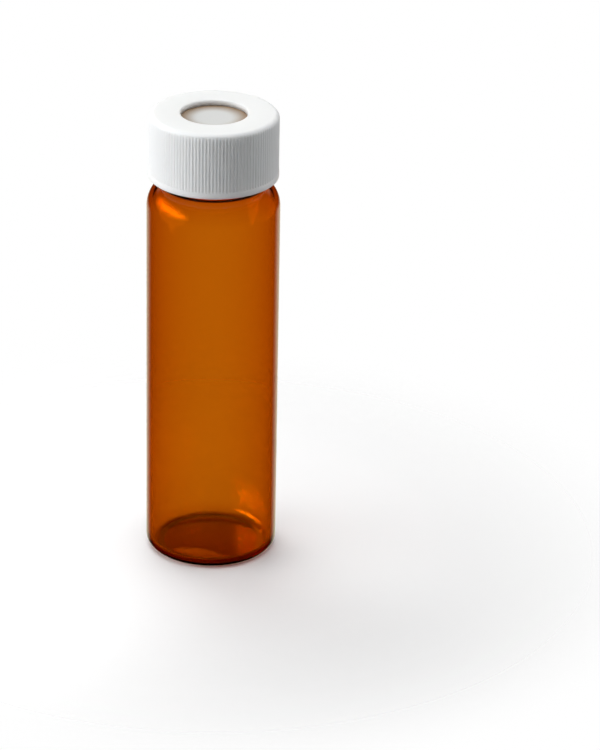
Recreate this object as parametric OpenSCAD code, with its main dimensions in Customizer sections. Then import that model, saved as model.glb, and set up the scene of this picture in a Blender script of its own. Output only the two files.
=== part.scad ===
// Screw-top sample vial, 40 mL: a glass vial, a septum on its lip and an open-top ribbed cap.
// Millimetres. The origin is the centre of the base, on the surface that the vial stands on,
// and +Z runs up the vial's axis. Each round piece is one profile turned about that axis.

/* [Glass vial] */
// Outside diameter of the glass tube
body_d = 27.5; // [26:0.1:30]
// Height of the glass, from the surface that it stands on to its lip
glass_h = 95; // [60:1:140]
// Thickness of the tube's wall
wall_t = 1.15; // [0.8:0.05:1.5]
// Thickness of the floor at its centre
floor_t = 0.8; // [0.6:0.1:3]
// Radius of the heel, where the wall turns under
heel_r = 2.2; // [1.6:0.1:3]
// Width of the flat ring that the vial stands on
foot_w = 1.6; // [0.4:0.1:2.5]
// How far the base is pushed up at its centre
push_up_h = 0.7; // [0.3:0.1:1.2]
// Radius between the wall and the floor inside
corner_r = 2.2; // [1:0.1:3]
// Radius of the shoulder, outside
shoulder_r = 5.8; // [4:0.1:6.4]
// How much thicker the glass is across the top of the shoulder than in the wall
shoulder_extra_t = 0.4; // [0:0.1:1.2]
// Radius that blends the neck into the shoulder, outside
neck_fillet_r = 1; // [0.6:0.1:1.4]
// Plain neck between that blend and the thread
neck_run = 3.9; // [3.3:0.1:6]
// Outside diameter of the neck, below its thread
neck_d = 21.4; // [21:0.1:21.8]
// Diameter of the bore through the neck
bore_d = 16.4; // [15:0.1:17]
// Radius that blends the bore into the shoulder, inside
neck_bend_r = 0.6; // [0.3:0.1:1.6]
// Radius of the lip's two edges
lip_r = 0.8; // [0.4:0.05:1]

/* [Screw thread] */
// Rise of the thread in one turn
pitch = 3.175; // [2.9:0.025:3.5]
// Turns that each thread has
thread_turns = 1.5; // [1:0.25:2]
// Height of the glass thread above the neck
glass_tooth_h = 1.1; // [0.9:0.05:1.2]
// Width of the glass thread along the axis, at its crest
glass_crest_w = 0.7; // [0.5:0.05:0.8]
// Width of the glass thread along the axis, at its foot
glass_foot_w = 1.9; // [1.6:0.05:2]
// Distance from the lip down to the middle of the thread's upper end
thread_drop = 2.3; // [2:0.1:2.6]
// Width of the cap's thread along the axis, at its crest
cap_crest_w = 0.5; // [0.4:0.05:0.6]
// Width of the cap's thread along the axis, at its foot
cap_foot_w = 1.5; // [1.3:0.05:1.6]
// Clearance from each thread's crest to the wall across from it
crest_gap = 0.3; // [0.25:0.05:0.4]
// Clearance between the flanks that bear when the cap is tight, along the axis
flank_gap = 0.15; // [0.1:0.05:0.25]

/* [Septum] */
// Thickness of the septum
septum_t = 1.5; // [1:0.1:3.2]
// Clearance from the septum's edge to the crest of the cap's thread, which it is pressed past
septum_gap = 0.05; // [0:0.05:0.3]

/* [Cap] */
// Thickness of the cap's skirt, from the bottom of its thread to its smooth band
cap_wall_t = 1.3; // [1.1:0.05:1.8]
// Thickness of the cap's top
cap_top_t = 1.2; // [0.9:0.1:2]
// Diameter of the hole in the cap's top
port_d = 13.8; // [8:0.1:15]
// Radius of the cap's top edge
cap_edge_r = 1.2; // [0.8:0.1:1.6]
// Radius of the edges of the hole and of the skirt's foot
soft_edge_r = 0.3; // [0.15:0.05:0.4]
// How much wider the mouth of the cap is than the bottom of its thread, on the radius
mouth_step = 0.35; // [0.2:0.05:0.5]
// Height of that wider mouth
mouth_h = 1.4; // [1:0.1:1.8]
// Clearance from the cap's mouth to the glass shoulder, across the axis, if the skirt reached it
mouth_gap = 0.3; // [0.2:0.05:0.5]
// How far above that place the skirt ends, which leaves part of the neck in sight
skirt_lift = 2.5; // [0:0.1:3.1]
// Height of the smooth band at the foot of the skirt
band_h = 1.4; // [1:0.1:2.5]
// Number of ribs round the skirt
rib_count = 120; // [60:1:150]
// Depth of the grooves between the ribs
rib_depth = 0.16; // [0.1:0.01:0.3]
// How far the ribs' crests lie inside the smooth band
rib_set_in = 0.05; // [0.02:0.01:0.1]

/* [Hidden] */

$fn = 144;
thread_steps = 48;    // sections of a thread in one turn
run_out = 30;         // degrees over which a thread fades at each end
tooth_sink = 0.3;     // how deep the foot of a thread or rib is set into its wall
crest_start = 0.75;   // share of the glass thread's height where its crest begins to round
over = 1;             // how far a cut runs past a face
reach = 300;          // longer than any profile, for half-planes

// Radii of the glass.
body_r = body_d / 2;
inner_r = body_r - wall_t;
neck_r = neck_d / 2;
bore_r = bore_d / 2;
thread_r = neck_r + glass_tooth_h;

// The glass thread hangs from the lip, and the shoulder follows below it.
thread_rise = pitch * thread_turns;
glass_thread_z = glass_h - thread_drop - thread_rise;
shoulder_cx = body_r - shoulder_r;
neck_fillet_cx = neck_r + neck_fillet_r;
neck_fillet_z = glass_thread_z - glass_foot_w / 2 - neck_run;
shoulder_z = neck_fillet_z - rise(shoulder_r, neck_fillet_r, neck_fillet_cx - shoulder_cx);
shoulder_inner_r = shoulder_r - wall_t;
shoulder_inner_z = shoulder_z - shoulder_extra_t;
neck_bend_cx = bore_r + neck_bend_r;
neck_bend_z = shoulder_inner_z + rise(shoulder_inner_r, neck_bend_r, neck_bend_cx - shoulder_cx);

// The floor is a shallow dome of even thickness. The inner corner touches it and the wall.
foot_outer_r = body_r - heel_r;
foot_inner_r = foot_outer_r - foot_w;
push_up_r = (pow(foot_inner_r, 2) + pow(push_up_h, 2)) / (2 * push_up_h);
dome_r = push_up_r + floor_t;
dome_cz = push_up_h - push_up_r;
corner_cx = inner_r - corner_r;
corner_cz = dome_cz + rise(dome_r, corner_r, corner_cx);

// The cap's thread lies under the glass thread, and both start at the same angle.
cap_bore_r = thread_r + crest_gap;
cap_crest_r = neck_r + crest_gap;
cap_tooth_h = cap_bore_r - cap_crest_r;
mesh_h = thread_r - cap_crest_r;
glass_flare = (glass_foot_w - glass_crest_w) / glass_tooth_h;
cap_flare = (cap_foot_w - cap_crest_w) / cap_tooth_h;
flank_reach = (glass_crest_w + cap_crest_w + mesh_h * max(glass_flare, cap_flare)) / 2;
cap_thread_z = glass_thread_z - flank_reach - flank_gap;

// The septum lies on the lip, and the cap's top lies on the septum.
septum_r = cap_crest_r - septum_gap;
cap_under_z = glass_h + septum_t;
cap_top_z = cap_under_z + cap_top_t;

// The skirt ends above the shoulder, and its mouth would still clear it lower down.
cap_r = cap_bore_r + cap_wall_t;
mouth_r = cap_bore_r + mouth_step;
port_r = port_d / 2;
mouth_reach = max(0, mouth_r - mouth_gap - shoulder_cx);
cap_foot_z = shoulder_z + skirt_lift + sqrt(max(0, pow(shoulder_r, 2) - pow(mouth_reach, 2)));
rib_crest_r = cap_r - rib_set_in;
rib_root_r = rib_crest_r - rib_depth;

function direction(angle) = [cos(angle), sin(angle)];

// Height from the centre of one arc to the centre of another that touches it, across apart.
function rise(r1, r2, across) = sqrt(pow(r1 + r2, 2) - pow(across, 2));

// Sections of the threads: share of the height, and width along the axis there.
glass_section = [
    [0, glass_foot_w],
    [crest_start, glass_foot_w - crest_start * (glass_foot_w - glass_crest_w)],
    [1, glass_crest_w / 2]
];
cap_section = [[0, cap_foot_w], [1, cap_crest_w]];

// Outline of one rib: share of its turn, and share of its depth.
rib_outline = [[0, 0], [0.3, 0], [0.5, 1], [0.8, 1]];

// A rectangle between two corners of a profile.
module block(from, to) {
    polygon([from, [to[0], from[1]], to, [from[0], to[1]]]);
}

module disc(x, z, r) {
    translate([x, z])
        circle(r);
}

// A quarter of a disc. The signs say which way it lies from its centre.
module quarter(x, z, r, right, up) {
    intersection() {
        disc(x, z, r);
        block([x, z], [x + 2 * r * right, z + 2 * r * up]);
    }
}

// Keeps the part of a profile that lies right of the turning axis.
module right_half() {
    intersection() {
        children();
        block([0, -reach / 2], [reach, reach / 2]);
    }
}

// A thread on the wall foot_r, up to tip_r: one section after another along a helix, joined by triangles.
// A tip inside the wall makes a thread in a bore. Its foot lies within the wall, and both ends fade into it.
module screw_thread(foot_r, tip_r, section, low_z) {
    out = sign(tip_r - foot_r);
    deep_r = foot_r - out * tooth_sink;
    sunk_r = foot_r - out * tooth_sink / 2;
    steps = ceil(thread_steps * thread_turns);
    turn = 360 * thread_turns;
    lower = [for (s = section) [s[0], -s[1] / 2]];
    upper = [for (k = [len(section) - 1 : -1 : 0]) [section[k][0], section[k][1] / 2]];
    ring = concat(lower, upper);
    n = len(ring);
    points = [
        for (i = [0 : steps])
            let (
                angle = turn * i / steps,
                z = low_z + thread_rise * i / steps,
                fade = min(1, angle / run_out, (turn - angle) / run_out)
            )
            for (p = ring)
                let (
                    full_r = foot_r + (tip_r - foot_r) * p[0],
                    r = p[0] == 0 ? deep_r : sunk_r + (full_r - sunk_r) * fade
                )
                [r * cos(angle), r * sin(angle), z + p[1]]
    ];
    sides = [
        for (i = [0 : steps - 1], k = [0 : n - 1])
            let (a = n * i + k, b = n * i + (k + 1) % n)
            each [[a, b, b + n], [a, b + n, a + n]]
    ];
    start = [for (k = [1 : n - 2]) [0, k + 1, k]];
    end = [for (k = [1 : n - 2]) [n * steps, n * steps + k, n * steps + k + 1]];
    faces = concat(start, sides, end);
    polyhedron(points, out > 0 ? faces : [for (f = faces) [f[0], f[2], f[1]]]);
}

// A shoulder and the bend above it, filled to the axis. They meet on the line between their centres.
module shoulder(centre, r, bend_centre, bend_r) {
    far = centre[0] + r + over;
    intersection() {
        disc(centre[0], centre[1], r);
        polygon([centre, [far, centre[1]], [far, bend_centre[1]], bend_centre]);
    }
    difference() {
        polygon([[0, centre[1]], centre, bend_centre, [0, bend_centre[1]]]);
        disc(bend_centre[0], bend_centre[1], bend_r);
    }
}

// The vial's outside, filled: foot, heel, wall, shoulder, neck and lip.
module vial_outside() {
    difference() {
        union() {
            block([0, 0], [foot_outer_r, heel_r]);
            quarter(foot_outer_r, heel_r, heel_r, 1, -1);
            block([0, heel_r], [body_r, shoulder_z]);
        }
        disc(0, dome_cz, push_up_r);
    }
    shoulder([shoulder_cx, shoulder_z], shoulder_r, [neck_fillet_cx, neck_fillet_z], neck_fillet_r);
    block([0, neck_fillet_z], [neck_r, glass_h - lip_r]);
    block([0, glass_h - lip_r], [neck_r - lip_r, glass_h]);
    quarter(neck_r - lip_r, glass_h - lip_r, lip_r, 1, 1);
}

// The vial's hollow: domed floor, wall, inner shoulder, bore and the lip's inner edge.
module vial_hollow() {
    corner_centre = [corner_cx, corner_cz];
    dome_centre = [0, dome_cz];
    // The domed floor and the corner meet on the line between their centres.
    difference() {
        polygon([dome_centre, corner_centre, [0, corner_cz]]);
        disc(0, dome_cz, dome_r);
    }
    intersection() {
        disc(corner_cx, corner_cz, corner_r);
        polygon([corner_centre, dome_centre, [inner_r + over, dome_cz], [inner_r + over, corner_cz]]);
    }
    block([0, corner_cz], [inner_r, shoulder_inner_z]);
    shoulder([shoulder_cx, shoulder_inner_z], shoulder_inner_r, [neck_bend_cx, neck_bend_z], neck_bend_r);
    block([0, neck_bend_z], [bore_r, glass_h - lip_r]);
    difference() {
        block([0, glass_h - lip_r], [bore_r + lip_r, glass_h + over]);
        disc(bore_r + lip_r, glass_h - lip_r, lip_r);
    }
}

module vial() {
    color("#a24603") {
        rotate_extrude()
            difference() {
                right_half()
                    vial_outside();
                vial_hollow();
            }
        screw_thread(neck_r, thread_r, glass_section, glass_thread_z);
    }
}

module septum() {
    color("#d6d5d2")
        translate([0, 0, glass_h])
            cylinder(h = septum_t, r = septum_r);
}

// The cap's body within the ribs: a round top edge and a plain skirt.
module cap_core() {
    core_r = rib_root_r - tooth_sink / 2;
    edge_z = cap_top_z - cap_edge_r;
    block([0, cap_foot_z + band_h], [core_r, edge_z]);
    block([0, edge_z], [core_r - cap_edge_r, cap_top_z]);
    quarter(core_r - cap_edge_r, edge_z, cap_edge_r, 1, 1);
}

// The smooth band at the foot of the skirt, with a soft lower edge and a sloping upper one.
module foot_band() {
    low_z = cap_foot_z + soft_edge_r;
    slope_z = cap_foot_z + band_h - rib_depth;
    quarter(cap_r - soft_edge_r, low_z, soft_edge_r, 1, -1);
    block([0, cap_foot_z], [cap_r - soft_edge_r, low_z]);
    polygon([
        [0, low_z],
        [cap_r, low_z],
        [cap_r, slope_z],
        [cap_r - 2 * rib_depth, slope_z + 2 * rib_depth],
        [0, slope_z + 2 * rib_depth]
    ]);
}

// The space inside the cap: the wider mouth, the threaded bore and the hole in its top.
module cap_hollow() {
    edge_z = cap_top_z - soft_edge_r;
    block([0, cap_foot_z - over], [mouth_r, cap_foot_z + mouth_h]);
    block([0, cap_foot_z + mouth_h], [cap_bore_r, cap_under_z]);
    block([0, cap_under_z], [port_r, edge_z]);
    difference() {
        block([0, edge_z], [port_r + soft_edge_r, cap_top_z + over]);
        disc(port_r + soft_edge_r, edge_z, soft_edge_r);
    }
}

// The ribs stand round the core as one ring. A slope cuts their upper ends where the top edge turns in.
module ribs() {
    ring_r = rib_root_r - tooth_sink;
    low_z = cap_foot_z + band_h / 2;
    slope_z = cap_top_z - cap_edge_r;
    slope_h = rib_depth + rib_set_in + tooth_sink / 2;
    intersection() {
        translate([0, 0, low_z])
            linear_extrude(cap_top_z - low_z)
                difference() {
                    polygon([
                        for (i = [0 : rib_count - 1], p = rib_outline)
                            let (angle = 360 * (i + p[0]) / rib_count)
                            (rib_root_r + rib_depth * p[1]) * direction(angle)
                    ]);
                    circle(ring_r);
                }
        rotate_extrude()
            polygon([
                [ring_r - over, cap_foot_z],
                [cap_r, cap_foot_z],
                [cap_r, slope_z],
                [cap_r - slope_h, slope_z + slope_h],
                [ring_r - over, slope_z + slope_h]
            ]);
    }
}

module cap() {
    color("#f2f2ef") {
        rotate_extrude()
            difference() {
                union() {
                    cap_core();
                    foot_band();
                }
                cap_hollow();
            }
        ribs();
        screw_thread(cap_bore_r, cap_crest_r, cap_section, cap_thread_z);
    }
}

vial();
septum();
cap();
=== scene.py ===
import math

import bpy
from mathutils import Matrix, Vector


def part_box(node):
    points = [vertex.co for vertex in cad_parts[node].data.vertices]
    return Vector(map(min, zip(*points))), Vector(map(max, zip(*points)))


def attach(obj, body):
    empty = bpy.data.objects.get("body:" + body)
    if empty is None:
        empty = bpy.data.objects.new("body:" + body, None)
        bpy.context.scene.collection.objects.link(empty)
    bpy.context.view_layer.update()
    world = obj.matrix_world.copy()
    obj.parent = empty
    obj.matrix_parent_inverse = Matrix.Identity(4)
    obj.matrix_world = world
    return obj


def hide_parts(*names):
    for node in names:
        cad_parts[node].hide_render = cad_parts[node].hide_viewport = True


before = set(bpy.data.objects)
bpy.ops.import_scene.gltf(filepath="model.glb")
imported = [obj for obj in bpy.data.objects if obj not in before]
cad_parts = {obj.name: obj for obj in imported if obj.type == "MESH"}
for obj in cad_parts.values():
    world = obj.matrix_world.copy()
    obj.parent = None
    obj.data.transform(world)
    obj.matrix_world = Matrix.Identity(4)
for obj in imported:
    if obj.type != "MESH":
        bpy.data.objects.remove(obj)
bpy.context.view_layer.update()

# %% [markdown]
# # An amber sample vial
# A screw-top vial holds a sample for analysis. It is three pieces: a glass vial drawn and formed from tube,
# a silicone septum that a needle can pierce, and a moulded cap with a hole in its top and fine ribs round
# its skirt. The solids are already loaded, so this script makes the surfaces that a camera sees.

MM = 0.001
FULL_TURN = 2 * math.pi

# %% [markdown]
# ## Sizes
# Every size below is the solid's own, in millimetres. The overall sizes are read from the loaded solids, so
# that a surface made here can't drift away from the piece that it dresses.


# %% Sizes read from the solids
def top_of(name):
    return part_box(name)[1][2] / MM


def radius_of(name):
    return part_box(name)[1][0] / MM


body_r = radius_of("vial")
glass_h = top_of("vial")
septum_r = radius_of("septum")
cap_under_z = top_of("septum")
cap_r = radius_of("cap")
cap_top_z = top_of("cap")
cap_foot_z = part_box("cap")[0][2] / MM
print("tube radius", round(body_r, 2), "cap radius", round(cap_r, 2), "cap foot", round(cap_foot_z, 2))

# %% Sizes of the glass
wall_t = 1.15
floor_t = 0.8
heel_r = 2.2
foot_w = 1.6
push_up_h = 0.7
corner_r = 2.2
shoulder_r = 5.8
shoulder_extra_t = 0.4
neck_fillet_r = 1.0
neck_run = 3.9
neck_bend_r = 0.6
neck_r = 10.7
bore_r = 8.2
lip_r = 0.8

# %% Sizes of the screw thread
pitch = 3.175
thread_turns = 1.5
thread_drop = 2.3
glass_tooth_h = 1.1
glass_foot_w = 1.9
glass_crest_w = 0.7
cap_foot_w = 1.5
cap_crest_w = 0.5
crest_start = 0.75
crest_gap = 0.3
flank_gap = 0.15
run_out = 30
row_margin = 0.1
thread_rise = pitch * thread_turns

# %% [markdown]
# ## Turned surfaces
# A glassblower's lathe and a round mould both make a profile that is the same all the way round. So one
# function turns a profile about the axis. It asks a second function for the radius at each angle, which
# lets a screw thread or a ring of ribs rise out of the same clean grid of faces, with no cuts or seams.


# %% One grid of faces round the axis
glass_columns = 240
septum_columns = 160
sweep_columns = 96
same_r = 1e-6


def arc(cx, cz, r, start, end, steps):
    """Points on an arc in the profile, from one angle in degrees to another."""
    angles = [math.radians(start + (end - start) * i / steps) for i in range(steps + 1)]
    return [(cx + r * math.cos(a), cz + r * math.sin(a)) for a in angles]


def rows_between(start, end, count):
    """Evenly spaced profile points between two points, without the ends."""
    shares = [i / (count + 1) for i in range(1, count + 1)]
    return [tuple(a + (b - a) * s for a, b in zip(start, end)) for s in shares]


def turned(name, profile, columns, radius_at=None):
    """A closed mesh: a profile turned about Z. It runs from axis to axis, or is a loop off the axis."""
    on_axis = profile[0][0] == 0
    verts, rows = [], []
    for r, z in profile:
        if r == 0:
            rows.append([len(verts)] * columns)
            verts.append((0, 0, z * MM))
            continue
        rows.append(list(range(len(verts), len(verts) + columns)))
        for i in range(columns):
            a = FULL_TURN * i / columns
            reach = (radius_at(r, z, math.degrees(a)) if radius_at else r) * MM
            verts.append((reach * math.cos(a), reach * math.sin(a), z * MM))
    pairs = list(zip(rows, rows[1:] + ([] if on_axis else rows[:1])))
    faces = []
    for low, high in pairs:
        for i in range(columns):
            j = (i + 1) % columns
            corners = [low[i], low[j], high[j], high[i]]
            faces.append(tuple(dict.fromkeys(corners)))
    mesh = bpy.data.meshes.new(name)
    mesh.from_pydata(verts, [], faces)
    mesh.validate()
    mesh.shade_smooth()
    piece = bpy.data.objects.new(name, mesh)
    bpy.context.scene.collection.objects.link(piece)
    print(name, len(mesh.vertices), "points,", len(mesh.polygons), "faces")
    return piece


# %% How far a screw thread stands out at one place
def thread_share(z, angle, low_z, section):
    """Share of a thread's full height at one height and angle. Its section lists (half width, share)."""
    best = 0.0
    for turn in range(math.ceil(thread_turns) + 1):
        along = angle + 360 * turn
        if not 0 <= along <= 360 * thread_turns:
            continue
        off = abs(z - low_z - pitch * along / 360)
        fade = min(1, along / run_out, (360 * thread_turns - along) / run_out)
        for (w1, s1), (w2, s2) in zip(section, section[1:]):
            if w2 <= off <= w1:
                best = max(best, fade * (s1 + (s2 - s1) * (w1 - off) / (w1 - w2)))
        if off < section[-1][0]:
            best = max(best, fade)
    return best


# %% [markdown]
# ## The glass vial
# The vial starts as drawn tube. Its base is melted shut and pressed up a little in the middle, so that it
# stands on a ring. Its other end is heated, rolled in to a shoulder and a neck, and the thread is pressed
# between rollers, which leaves rounded teeth. The lip is fire polished. The profile runs from the middle
# of the base, up the outside, over the lip and down the inside to the middle of the floor.


# %% Where the arcs of the glass have their centres
def rise(r1, r2, across):
    """Height from the centre of one arc to the centre of another that touches it."""
    return math.sqrt((r1 + r2) ** 2 - across**2)


inner_r = body_r - wall_t
glass_thread_z = glass_h - thread_drop - thread_rise
neck_fillet_z = glass_thread_z - glass_foot_w / 2 - neck_run
neck_fillet_cx = neck_r + neck_fillet_r
shoulder_cx = body_r - shoulder_r
shoulder_z = neck_fillet_z - rise(shoulder_r, neck_fillet_r, neck_fillet_cx - shoulder_cx)
shoulder_inner_r = shoulder_r - wall_t
shoulder_inner_z = shoulder_z - shoulder_extra_t
neck_bend_cx = bore_r + neck_bend_r
neck_bend_z = shoulder_inner_z + rise(shoulder_inner_r, neck_bend_r, neck_bend_cx - shoulder_cx)
foot_outer_r = body_r - heel_r
foot_inner_r = foot_outer_r - foot_w
push_up_r = (foot_inner_r**2 + push_up_h**2) / (2 * push_up_h)
dome_r = push_up_r + floor_t
dome_cz = push_up_h - push_up_r
corner_cx = inner_r - corner_r
corner_cz = dome_cz + rise(dome_r, corner_r, corner_cx)
print("straight wall ends at", round(shoulder_z, 2), "mm; inner corner at", round(corner_cz, 2), "mm")


# %% The profile of the glass
def degrees_to(x, z):
    return math.degrees(math.atan2(z, x))


def glass_profile():
    blend = degrees_to(neck_fillet_cx - shoulder_cx, neck_fillet_z - shoulder_z)
    base_edge = degrees_to(foot_inner_r, push_up_r - push_up_h)
    floor_edge = degrees_to(corner_cx, corner_cz - dome_cz)
    inner_blend = degrees_to(neck_bend_cx - shoulder_cx, neck_bend_z - shoulder_inner_z)
    tooth_low = (neck_r, glass_thread_z - glass_foot_w / 2 - row_margin)
    tooth_high = (neck_r, glass_h - lip_r)
    outside = [(0, push_up_h)] + arc(0, dome_cz, push_up_r, 90, base_edge, steps=16)[1:]
    outside += arc(foot_outer_r, heel_r, heel_r, -90, 0, steps=14)
    outside += rows_between((body_r, heel_r), (body_r, shoulder_z), count=23)
    outside += arc(shoulder_cx, shoulder_z, shoulder_r, 0, blend, steps=18)
    outside += arc(neck_fillet_cx, neck_fillet_z, neck_fillet_r, 180 + blend, 180, steps=8)[1:]
    outside += [tooth_low] + rows_between(tooth_low, tooth_high, count=62) + [tooth_high]
    lip = arc(neck_r - lip_r, glass_h - lip_r, lip_r, 0, 90, steps=8)[1:]
    lip += arc(bore_r + lip_r, glass_h - lip_r, lip_r, 90, 180, steps=8)
    inside = rows_between((bore_r, glass_h - lip_r), (bore_r, neck_bend_z), count=4)
    inside += arc(neck_bend_cx, neck_bend_z, neck_bend_r, 180, 180 + inner_blend, steps=10)
    inside += arc(shoulder_cx, shoulder_inner_z, shoulder_inner_r, inner_blend, 0, steps=20)[1:]
    inside += rows_between((inner_r, shoulder_inner_z), (inner_r, corner_cz), count=23)
    inside += arc(corner_cx, corner_cz, corner_r, 0, floor_edge - 180, steps=14)
    inside += arc(0, dome_cz, dome_r, floor_edge, 90, steps=16)[1:-1] + [(0, dome_cz + dome_r)]
    return outside + lip + inside


glass_section = [
    (glass_foot_w / 2, 0),
    ((glass_foot_w - crest_start * (glass_foot_w - glass_crest_w)) / 2, crest_start),
    (glass_crest_w / 4, 1),
]


def glass_radius(r, z, angle):
    in_thread = abs(r - neck_r) < same_r and z > neck_fillet_z
    return r + glass_tooth_h * thread_share(z, angle, glass_thread_z, glass_section) if in_thread else r


vial = turned("glass_vial", glass_profile(), glass_columns, glass_radius)
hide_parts("vial")
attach(vial, "vial")

# %% [markdown]
# ## The septum
# The septum is die-cut from silicone sheet, with a thin film bonded to the face that meets the sample. It
# lies flat on the lip, and the cap holds it down. Its cut edge is square, with only a hair of softness.

# %% The septum
septum_edge = 0.08


def septum_profile():
    low, high, r = glass_h, cap_under_z, septum_r
    points = [(0, low)] + rows_between((0, low), (r - septum_edge, low), count=9)
    points += arc(r - septum_edge, low + septum_edge, septum_edge, -90, 0, steps=4)
    points += arc(r - septum_edge, high - septum_edge, septum_edge, 0, 90, steps=4)
    return points + rows_between((r - septum_edge, high), (0, high), count=9) + [(0, high)]


septum = turned("silicone_septum", septum_profile(), septum_columns)
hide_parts("septum")
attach(septum, "septum")

# %% [markdown]
# ## The cap
# The cap is injection moulded in white polypropylene. Fine ribs give fingers a grip. They are rounded, like
# all moulded detail, start above a smooth band at the foot, and fade out where the top edge turns in.
# Inside are a wider mouth and a thread that hangs under the thread of the glass.

# %% Sizes of the cap
cap_edge_r = 1.2
soft_edge_r = 0.3
port_r = 6.9
mouth_h = 1.4
mouth_step = 0.35
band_h = 1.4
rib_count = 120
rib_depth = 0.16
rib_set_in = 0.05
rib_samples = 8
rib_fade_h = 2 * rib_depth
rib_end = 0.75
cap_bore_r = neck_r + glass_tooth_h + crest_gap
cap_tooth_h = glass_tooth_h
mesh_h = glass_tooth_h - crest_gap
widest_flare = max((glass_foot_w - glass_crest_w) / glass_tooth_h, (cap_foot_w - cap_crest_w) / cap_tooth_h)
flank_reach = (glass_crest_w + cap_crest_w + mesh_h * widest_flare) / 2
cap_thread_z = glass_thread_z - flank_reach - flank_gap
rib_low_z = cap_foot_z + band_h - rib_depth
rib_high_z = cap_top_z - cap_edge_r
print("ribs from", round(rib_low_z, 2), "to", round(rib_high_z, 2), "mm")


# %% The profile of the cap, and what the ribs and the thread do to it
def smooth_step(x):
    x = min(1, max(0, x))
    return x * x * (3 - 2 * x)


def cap_profile():
    skirt_x = cap_r - rib_set_in
    mouth_r = cap_bore_r + mouth_step
    points = arc(cap_r - soft_edge_r, cap_foot_z + soft_edge_r, soft_edge_r, -90, 0, steps=6)
    points += [(cap_r, rib_low_z)]
    points += [(skirt_x, rib_low_z + rib_fade_h * s) for s in (0.2, 0.4, 0.6, 0.8, 1)]
    points += rows_between((skirt_x, rib_low_z + rib_fade_h), (skirt_x, rib_high_z), count=3)
    points += arc(skirt_x - cap_edge_r, rib_high_z, cap_edge_r, 0, 90, steps=14)
    points += rows_between((skirt_x - cap_edge_r, cap_top_z), (port_r + soft_edge_r, cap_top_z), count=3)
    points += arc(port_r + soft_edge_r, cap_top_z - soft_edge_r, soft_edge_r, 90, 180, steps=6)
    points += [(port_r, cap_under_z), (cap_bore_r, cap_under_z)]
    points += rows_between((cap_bore_r, cap_under_z), (cap_bore_r, cap_foot_z + mouth_h), count=40)
    points += [(cap_bore_r, cap_foot_z + mouth_h), (mouth_r, cap_foot_z + mouth_h), (mouth_r, cap_foot_z)]
    return points


cap_section = [(cap_foot_w / 2, 0), (cap_crest_w / 2, 1)]


def cap_radius(r, z, angle):
    if abs(r - cap_bore_r) < same_r:
        return r - cap_tooth_h * thread_share(z, angle, cap_thread_z, cap_section)
    if r < cap_r - cap_edge_r or z < rib_low_z:
        return r
    crest = 0.5 + 0.5 * math.cos(math.radians(angle * rib_count))
    low_fade = smooth_step((z - rib_low_z) / rib_fade_h)
    high_fade = 1 - smooth_step((z - rib_high_z) / (rib_end * cap_edge_r))
    return r - rib_depth * (1 - crest) * min(low_fade, high_fade)


cap = turned("ribbed_cap", cap_profile(), rib_count * rib_samples, cap_radius)
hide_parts("cap")
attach(cap, "cap")

# %% [markdown]
# ## Materials
# Each finish starts from the real material. Colours are written as sRGB hex, as a paint chart gives them,
# and one function turns them to the linear values that shaders work in.


# %% Colour and node helpers
def linear(hex_colour):
    """An sRGB hex colour as linear red, green and blue, with an alpha of 1."""
    channels = [int(hex_colour[i : i + 2], 16) / 255 for i in (1, 3, 5)]
    return [c / 12.92 if c <= 0.04045 else ((c + 0.055) / 1.055) ** 2.4 for c in channels] + [1]


def add_node(tree, kind, inputs=None, **settings):
    """A new node with its settings, and its inputs as plain values or as links from other sockets."""
    node = tree.nodes.new(kind)
    for key, value in settings.items():
        setattr(node, key, value)
    for key, value in (inputs or {}).items():
        if isinstance(value, bpy.types.NodeSocket):
            tree.links.new(value, node.inputs[key])
        else:
            node.inputs[key].default_value = value
    return node


def empty_tree(owner):
    """The node tree of a material, a world or a lamp, with nothing in it yet."""
    owner.use_nodes = True
    owner.node_tree.nodes.clear()
    return owner.node_tree


def off_axis(tree, point):
    """The distance of a shaded point from the axis, in metres."""
    flat = add_node(tree, "ShaderNodeVectorMath", {0: point, 1: (1, 1, 0)}, operation="MULTIPLY")
    away = add_node(tree, "ShaderNodeVectorMath", {0: flat.outputs["Vector"]}, operation="LENGTH")
    return away.outputs["Value"]


# %% [markdown]
# ### Amber borosilicate glass
# Amber glass is coloured all through, so its colour is not on its surface: it deepens with the length of
# glass that light crosses. A clear refracting surface round an absorbing volume gives that, with the dark
# ring of the thick heel for free. What a wall lets through is worked out from the colour of two walls.
# The faint lines that the tube's drawing leaves run up the wall, so their noise is stretched along it.
#
# A lamp's light is not bent on its way to the floor. It passes straight on with a tone: nearly clear through
# the wall, and dark through the thick corner, whose height is given by where its shade starts and ends.

# %% Amber glass
glass_ior = 1.48
two_walls = 2.4
through_two_walls = [0.48, 0.107, 0.0012]
per_metre = [-math.log(t) / (two_walls * MM) for t in through_two_walls]
density = max(per_metre)
absorb_colour = [1 - a / density for a in per_metre]
wall_tone = linear("#f0e6dc")
corner_tone = linear("#7a5a40")
shade_starts = 1.8
shade_full = 2.6
shade_ends = 5
shade_gone = 14
print("absorption per metre:", [round(a) for a in per_metre])

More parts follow.
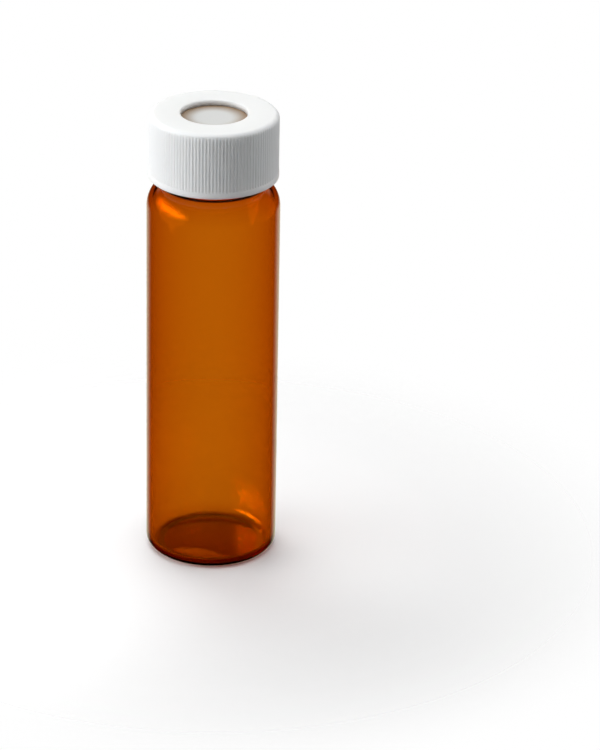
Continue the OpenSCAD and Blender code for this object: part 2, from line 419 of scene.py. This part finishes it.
amber_glass = bpy.data.materials.new("amber_borosilicate_glass_flame_formed")
tree = empty_tree(amber_glass)
place = add_node(tree, "ShaderNodeTexCoord")
drawn = add_node(tree, "ShaderNodeMapping", {"Vector": place.outputs["Object"], "Scale": (1, 1, 0.04)})
lines = add_node(tree, "ShaderNodeTexNoise", {"Vector": drawn.outputs["Vector"], "Scale": 260, "Detail": 2})
ripple = add_node(
    tree, "ShaderNodeBump", {"Height": lines.outputs["Fac"], "Strength": 0.04, "Distance": 0.05 * MM}
)
shell = add_node(
    tree,
    "ShaderNodeBsdfPrincipled",
    {
        "Base Color": (1, 1, 1, 1),
        "Roughness": 0.0,
        "IOR": glass_ior,
        "Transmission Weight": 1.0,
        "Normal": ripple.outputs["Normal"],
    },
)
height = add_node(tree, "ShaderNodeSeparateXYZ", {"Vector": place.outputs["Object"]})
above_corner = add_node(
    tree,
    "ShaderNodeMapRange",
    {"Value": height.outputs["Z"], "From Min": shade_ends * MM, "From Max": shade_gone * MM},
    interpolation_type="SMOOTHSTEP",
)
below_corner = add_node(
    tree,
    "ShaderNodeMapRange",
    {
        "Value": height.outputs["Z"],
        "From Min": shade_starts * MM,
        "From Max": shade_full * MM,
        "To Min": 1.0,
        "To Max": 0.0,
    },
)
passing = add_node(
    tree,
    "ShaderNodeMath",
    {0: above_corner.outputs["Result"], 1: below_corner.outputs["Result"]},
    operation="MAXIMUM",
)
lamp_tone = add_node(
    tree,
    "ShaderNodeMix",
    {"Factor": passing.outputs["Value"], "A": corner_tone, "B": wall_tone},
    data_type="RGBA",
)
light_path = add_node(tree, "ShaderNodeLightPath")
lamp_light = add_node(tree, "ShaderNodeBsdfTransparent", {"Color": lamp_tone.outputs["Result"]})
surface = add_node(
    tree,
    "ShaderNodeMixShader",
    {0: light_path.outputs["Is Shadow Ray"], 1: shell.outputs["BSDF"], 2: lamp_light.outputs["BSDF"]},
)
depth = add_node(tree, "ShaderNodeVolumeAbsorption", {"Color": (*absorb_colour, 1), "Density": density})
add_node(
    tree,
    "ShaderNodeOutputMaterial",
    {"Surface": surface.outputs["Shader"], "Volume": depth.outputs["Volume"]},
)
vial.data.materials.append(amber_glass)

# %% [markdown]
# ### Silicone
# Silicone rubber is matt and faintly milky. Light goes a little way in before it comes out again. Towards
# the rim of the hole the disc's colour darkens and warms: painted shade from the hole's wall, with some
# warmth of the amber lip below.

# %% Silicone
# Painted shade: the colour darkens to a warm brown towards the rim of the hole, where its wall shades the
# disc.
rim_shade_from = 3.2
rim_shade_tone = linear("#927a62")

silicone = bpy.data.materials.new("die_cut_silicone")
tree = empty_tree(silicone)
place = add_node(tree, "ShaderNodeTexCoord")
grain = add_node(tree, "ShaderNodeTexNoise", {"Vector": place.outputs["Object"], "Scale": 2600, "Detail": 3})
skin = add_node(
    tree, "ShaderNodeBump", {"Height": grain.outputs["Fac"], "Strength": 0.15, "Distance": 0.03 * MM}
)
tone = add_node(
    tree,
    "ShaderNodeMix",
    {"Factor": grain.outputs["Fac"], "A": linear("#cfd0cf"), "B": linear("#d5d6d5")},
    data_type="RGBA",
)
# Mask for the painted shade, from a little way out to the rim of the hole.
near_rim_shade = add_node(
    tree,
    "ShaderNodeMapRange",
    {"Value": off_axis(tree, place.outputs["Object"]), "From Min": rim_shade_from * MM, "From Max": port_r * MM},
    interpolation_type="SMOOTHSTEP",
)
shaded_warm_tone = add_node(
    tree,
    "ShaderNodeMix",
    {"Factor": near_rim_shade.outputs["Result"], "A": tone.outputs["Result"], "B": rim_shade_tone},
    data_type="RGBA",
)
shader = add_node(
    tree,
    "ShaderNodeBsdfPrincipled",
    {
        "Base Color": shaded_warm_tone.outputs["Result"],
        "Roughness": 0.55,
        "IOR": 1.41,
        "Subsurface Weight": 0.2,
        "Subsurface Radius": (1.0, 0.9, 0.8),
        "Subsurface Scale": 0.4 * MM,
        "Normal": skin.outputs["Normal"],
    },
)
add_node(tree, "ShaderNodeOutputMaterial", {"Surface": shader.outputs["BSDF"]})
septum.data.materials.append(silicone)
print("septum painted shade from", rim_shade_from, "to", port_r, "mm off the axis")

# %% [markdown]
# ### Moulded polypropylene
# Polypropylene is a waxy, slightly see-through plastic. White pigment makes it opaque from a step away, but
# light still creeps about a millimetre under its skin, which softens the ribs and makes thin edges glow.
# The mould is fine-blasted, so the skin has a soft sheen that is a little uneven.

# %% Polypropylene
polypropylene = bpy.data.materials.new("moulded_white_polypropylene")
tree = empty_tree(polypropylene)
place = add_node(tree, "ShaderNodeTexCoord")
blasted = add_node(
    tree, "ShaderNodeTexNoise", {"Vector": place.outputs["Object"], "Scale": 4000, "Detail": 2}
)
skin = add_node(
    tree, "ShaderNodeBump", {"Height": blasted.outputs["Fac"], "Strength": 0.04, "Distance": 0.02 * MM}
)
rough = add_node(
    tree,
    "ShaderNodeMapRange",
    {"Value": blasted.outputs["Fac"], "To Min": 0.36, "To Max": 0.46},
)
shader = add_node(
    tree,
    "ShaderNodeBsdfPrincipled",
    {
        "Base Color": linear("#f0f2f3"),
        "Roughness": rough.outputs["Result"],
        "IOR": 1.49,
        "Subsurface Weight": 1.0,
        "Subsurface Radius": (1.0, 0.98, 0.96),
        "Subsurface Scale": 1.0 * MM,
        "Normal": skin.outputs["Normal"],
    },
)
add_node(tree, "ShaderNodeOutputMaterial", {"Surface": shader.outputs["BSDF"]})
cap.data.materials.append(polypropylene)
print("materials:", [piece.data.materials[0].name for piece in (vial, septum, cap)])

# %% [markdown]
# ## Studio
# The vial stands on a white sweep, in a dark room, between soft lamps. The sweep is a thin sheet of paper.
# Its top is all that is ever seen of it: its lower face is clear, and its rim fades into the white around.

# %% Floor
sweep_r = 100.0
sweep_fade = 55.0
paper_white = (0.945, 0.945, 0.945, 1)
face_top = -0.1
face_low = -0.5
sweep = turned("white_sweep", [(0, -2), (sweep_r, -2), (sweep_r, 0), (0, 0)], sweep_columns)
sweep.visible_glossy = False
paper = bpy.data.materials.new("white_sweep_paper")
tree = empty_tree(paper)
place = add_node(tree, "ShaderNodeTexCoord")
fade = add_node(
    tree,
    "ShaderNodeMapRange",
    {
        "Value": off_axis(tree, place.outputs["Object"]),
        "From Min": (sweep_r - sweep_fade) * MM,
        "From Max": sweep_r * MM,
    },
    interpolation_type="SMOOTHSTEP",
)
level = add_node(tree, "ShaderNodeSeparateXYZ", {"Vector": place.outputs["Object"]})
below = add_node(
    tree,
    "ShaderNodeMapRange",
    {
        "Value": level.outputs["Z"],
        "From Min": face_low * MM,
        "From Max": face_top * MM,
        "To Min": 1.0,
        "To Max": 0.0,
    },
)
hidden = add_node(
    tree, "ShaderNodeMath", {0: fade.outputs["Result"], 1: below.outputs["Result"]}, operation="MAXIMUM"
)
sheet = add_node(
    tree,
    "ShaderNodeBsdfPrincipled",
    {"Base Color": paper_white, "Roughness": 1.0, "Specular IOR Level": 0.0},
)
gone = add_node(tree, "ShaderNodeBsdfTransparent")
both = add_node(
    tree,
    "ShaderNodeMixShader",
    {0: hidden.outputs["Value"], 1: sheet.outputs["BSDF"], 2: gone.outputs["BSDF"]},
)
add_node(tree, "ShaderNodeOutputMaterial", {"Surface": both.outputs["Shader"]})
sweep.data.materials.append(paper)

# %% [markdown]
# ### World
# The camera sees plain white, and a matt surface gets only a little light from it. What glass shows is the
# room. In its mirror there is white behind the vial, on the table below and under the ceiling, with a dark
# wall between, which draws the dark corners of the shoulder. Through it there is white up to the horizon.
# The white in the mirror is a warm one.

# %% World
ambient = 0.12
mirror_tone = linear("#ece4c4")
edges_of_white = {
    "behind": ("Y", 0.62, 0.86),
    "table": ("Z", -0.22, -0.34),
    "ceiling": ("Z", 0.2, 0.3),
    "horizon": ("Z", 0.13, 0.02),
}
world = bpy.data.worlds.new("white_studio")
bpy.context.scene.world = world
tree = empty_tree(world)
light_path = add_node(tree, "ShaderNodeLightPath")
place = add_node(tree, "ShaderNodeTexCoord")
towards = add_node(tree, "ShaderNodeSeparateXYZ", {"Vector": place.outputs["Generated"]})
white = {}
for region, (axis, dark_at, white_at) in edges_of_white.items():
    share = add_node(
        tree,
        "ShaderNodeMapRange",
        {"Value": towards.outputs[axis], "From Min": dark_at, "From Max": white_at},
        interpolation_type="SMOOTHSTEP",
    )
    white[region] = share.outputs["Result"]
off_wall = add_node(tree, "ShaderNodeMath", {0: white["table"], 1: white["ceiling"]}, operation="MAXIMUM")
in_mirror = add_node(
    tree, "ShaderNodeMath", {0: white["behind"], 1: off_wall.outputs["Value"]}, operation="MULTIPLY"
)
seen = light_path.outputs["Is Camera Ray"]
for ray, share in (
    ("Is Glossy Ray", in_mirror.outputs["Value"]),
    ("Is Transmission Ray", white["horizon"]),
    ("Is Diffuse Ray", ambient),
):
    part = add_node(tree, "ShaderNodeMath", {0: light_path.outputs[ray], 1: share}, operation="MULTIPLY")
    most = add_node(tree, "ShaderNodeMath", {0: seen, 1: part.outputs["Value"]}, operation="MAXIMUM")
    seen = most.outputs["Value"]
mirrored = add_node(
    tree,
    "ShaderNodeMath",
    {0: light_path.outputs["Is Glossy Ray"], 1: light_path.outputs["Is Transmission Ray"]},
    operation="SUBTRACT",
    use_clamp=True,
)
tint = add_node(
    tree,
    "ShaderNodeMix",
    {"Factor": mirrored.outputs["Value"], "A": (1, 1, 1, 1), "B": mirror_tone},
    data_type="RGBA",
)
background = add_node(tree, "ShaderNodeBackground", {"Color": tint.outputs["Result"], "Strength": seen})
add_node(tree, "ShaderNodeOutputWorld", {"Surface": background.outputs["Background"]})

# %% [markdown]
# ### Lamps
# Suns with a wide angle stand in for soft lamps, because their light is even over the whole floor. A long
# strip lamp on the left is there for its image in the glass: the streak on the shoulder. It is three ovals,
# one before another, so that it is brightest in its middle. It lights no matt surface, straight or through
# the glass.


# %% Lamps
def hang(lamp, azimuth, elevation, distance=0.0):
    """Aims a lamp at the shoulder. The azimuth is 0 on the camera's side and grows towards +X."""
    lamp.rotation_euler = (math.radians(90 - elevation), 0, math.radians(azimuth))
    away = lamp.rotation_euler.to_matrix() @ Vector((0, 0, distance))
    lamp.location = Vector((0, 0, shoulder_z * MM)) + away
    lamp.visible_glossy = False
    bpy.context.scene.collection.objects.link(lamp)


for name, azimuth, elevation, strength, spread in (
    ("key_left", -80, 8, 2.95, 60),
    ("overhead", 0, 90, 1.26, 60),
    ("front_fill", 0, 35, 0.22, 60),
    ("back_light", -160, 55, 1.15, 40),
    ("rim_right", 110, 10, 1.05, 60),
):
    light = bpy.data.lights.new(name, "SUN")
    light.energy = strength
    light.angle = math.radians(spread)
    hang(bpy.data.objects.new(name, light), azimuth, elevation)

strip_azimuth = -90
strip_elevation = 25
for name, width, tall, power, distance in (
    ("strip_box", 1.1, 0.5, 9.0, 0.6),
    ("strip_middle", 0.85, 0.32, 9.5, 0.59),
    ("strip_core", 0.6, 0.17, 7.5, 0.58),
):
    light = bpy.data.lights.new(name, "AREA")
    light.shape = "ELLIPSE"
    light.size = width
    light.size_y = tall
    light.energy = power
    tree = empty_tree(light)
    light_path = add_node(tree, "ShaderNodeLightPath")
    straight = add_node(
        tree,
        "ShaderNodeMath",
        {0: 1.0, 1: light_path.outputs["Diffuse Depth"]},
        operation="SUBTRACT",
        use_clamp=True,
    )
    glow = add_node(tree, "ShaderNodeEmission", {"Strength": straight.outputs["Value"]})
    add_node(tree, "ShaderNodeOutputLight", {"Surface": glow.outputs["Emission"]})
    strip = bpy.data.objects.new(name, light)
    hang(strip, strip_azimuth, strip_elevation, distance)
    strip.visible_diffuse = False
print("lamps:", [light.name for light in bpy.data.lights])

# %% [markdown]
# ## Camera
# A long lens well back keeps the vial's sides nearly parallel. It looks down at about 25 degrees, which
# shows the septum through the cap's hole, and leans by one degree.

# %% Camera
camera_place = (18.42 * MM, -727.95 * MM, 377.53 * MM)
camera_pitch = math.radians(24.93)
camera_roll = math.radians(1.065)
camera_data = bpy.data.cameras.new("camera")
camera_data.lens = 183.84
camera_data.sensor_width = 36
camera_data.clip_start = 0.05
camera = bpy.data.objects.new("camera", camera_data)
bpy.context.scene.collection.objects.link(camera)
tilt = Matrix.Rotation(math.radians(90) - camera_pitch, 4, "X")
lean = Matrix.Rotation(camera_roll, 4, "Z")
camera.matrix_world = Matrix.Translation(camera_place) @ tilt @ lean
bpy.context.scene.camera = camera
bpy.context.scene.view_settings.view_transform = "Standard"
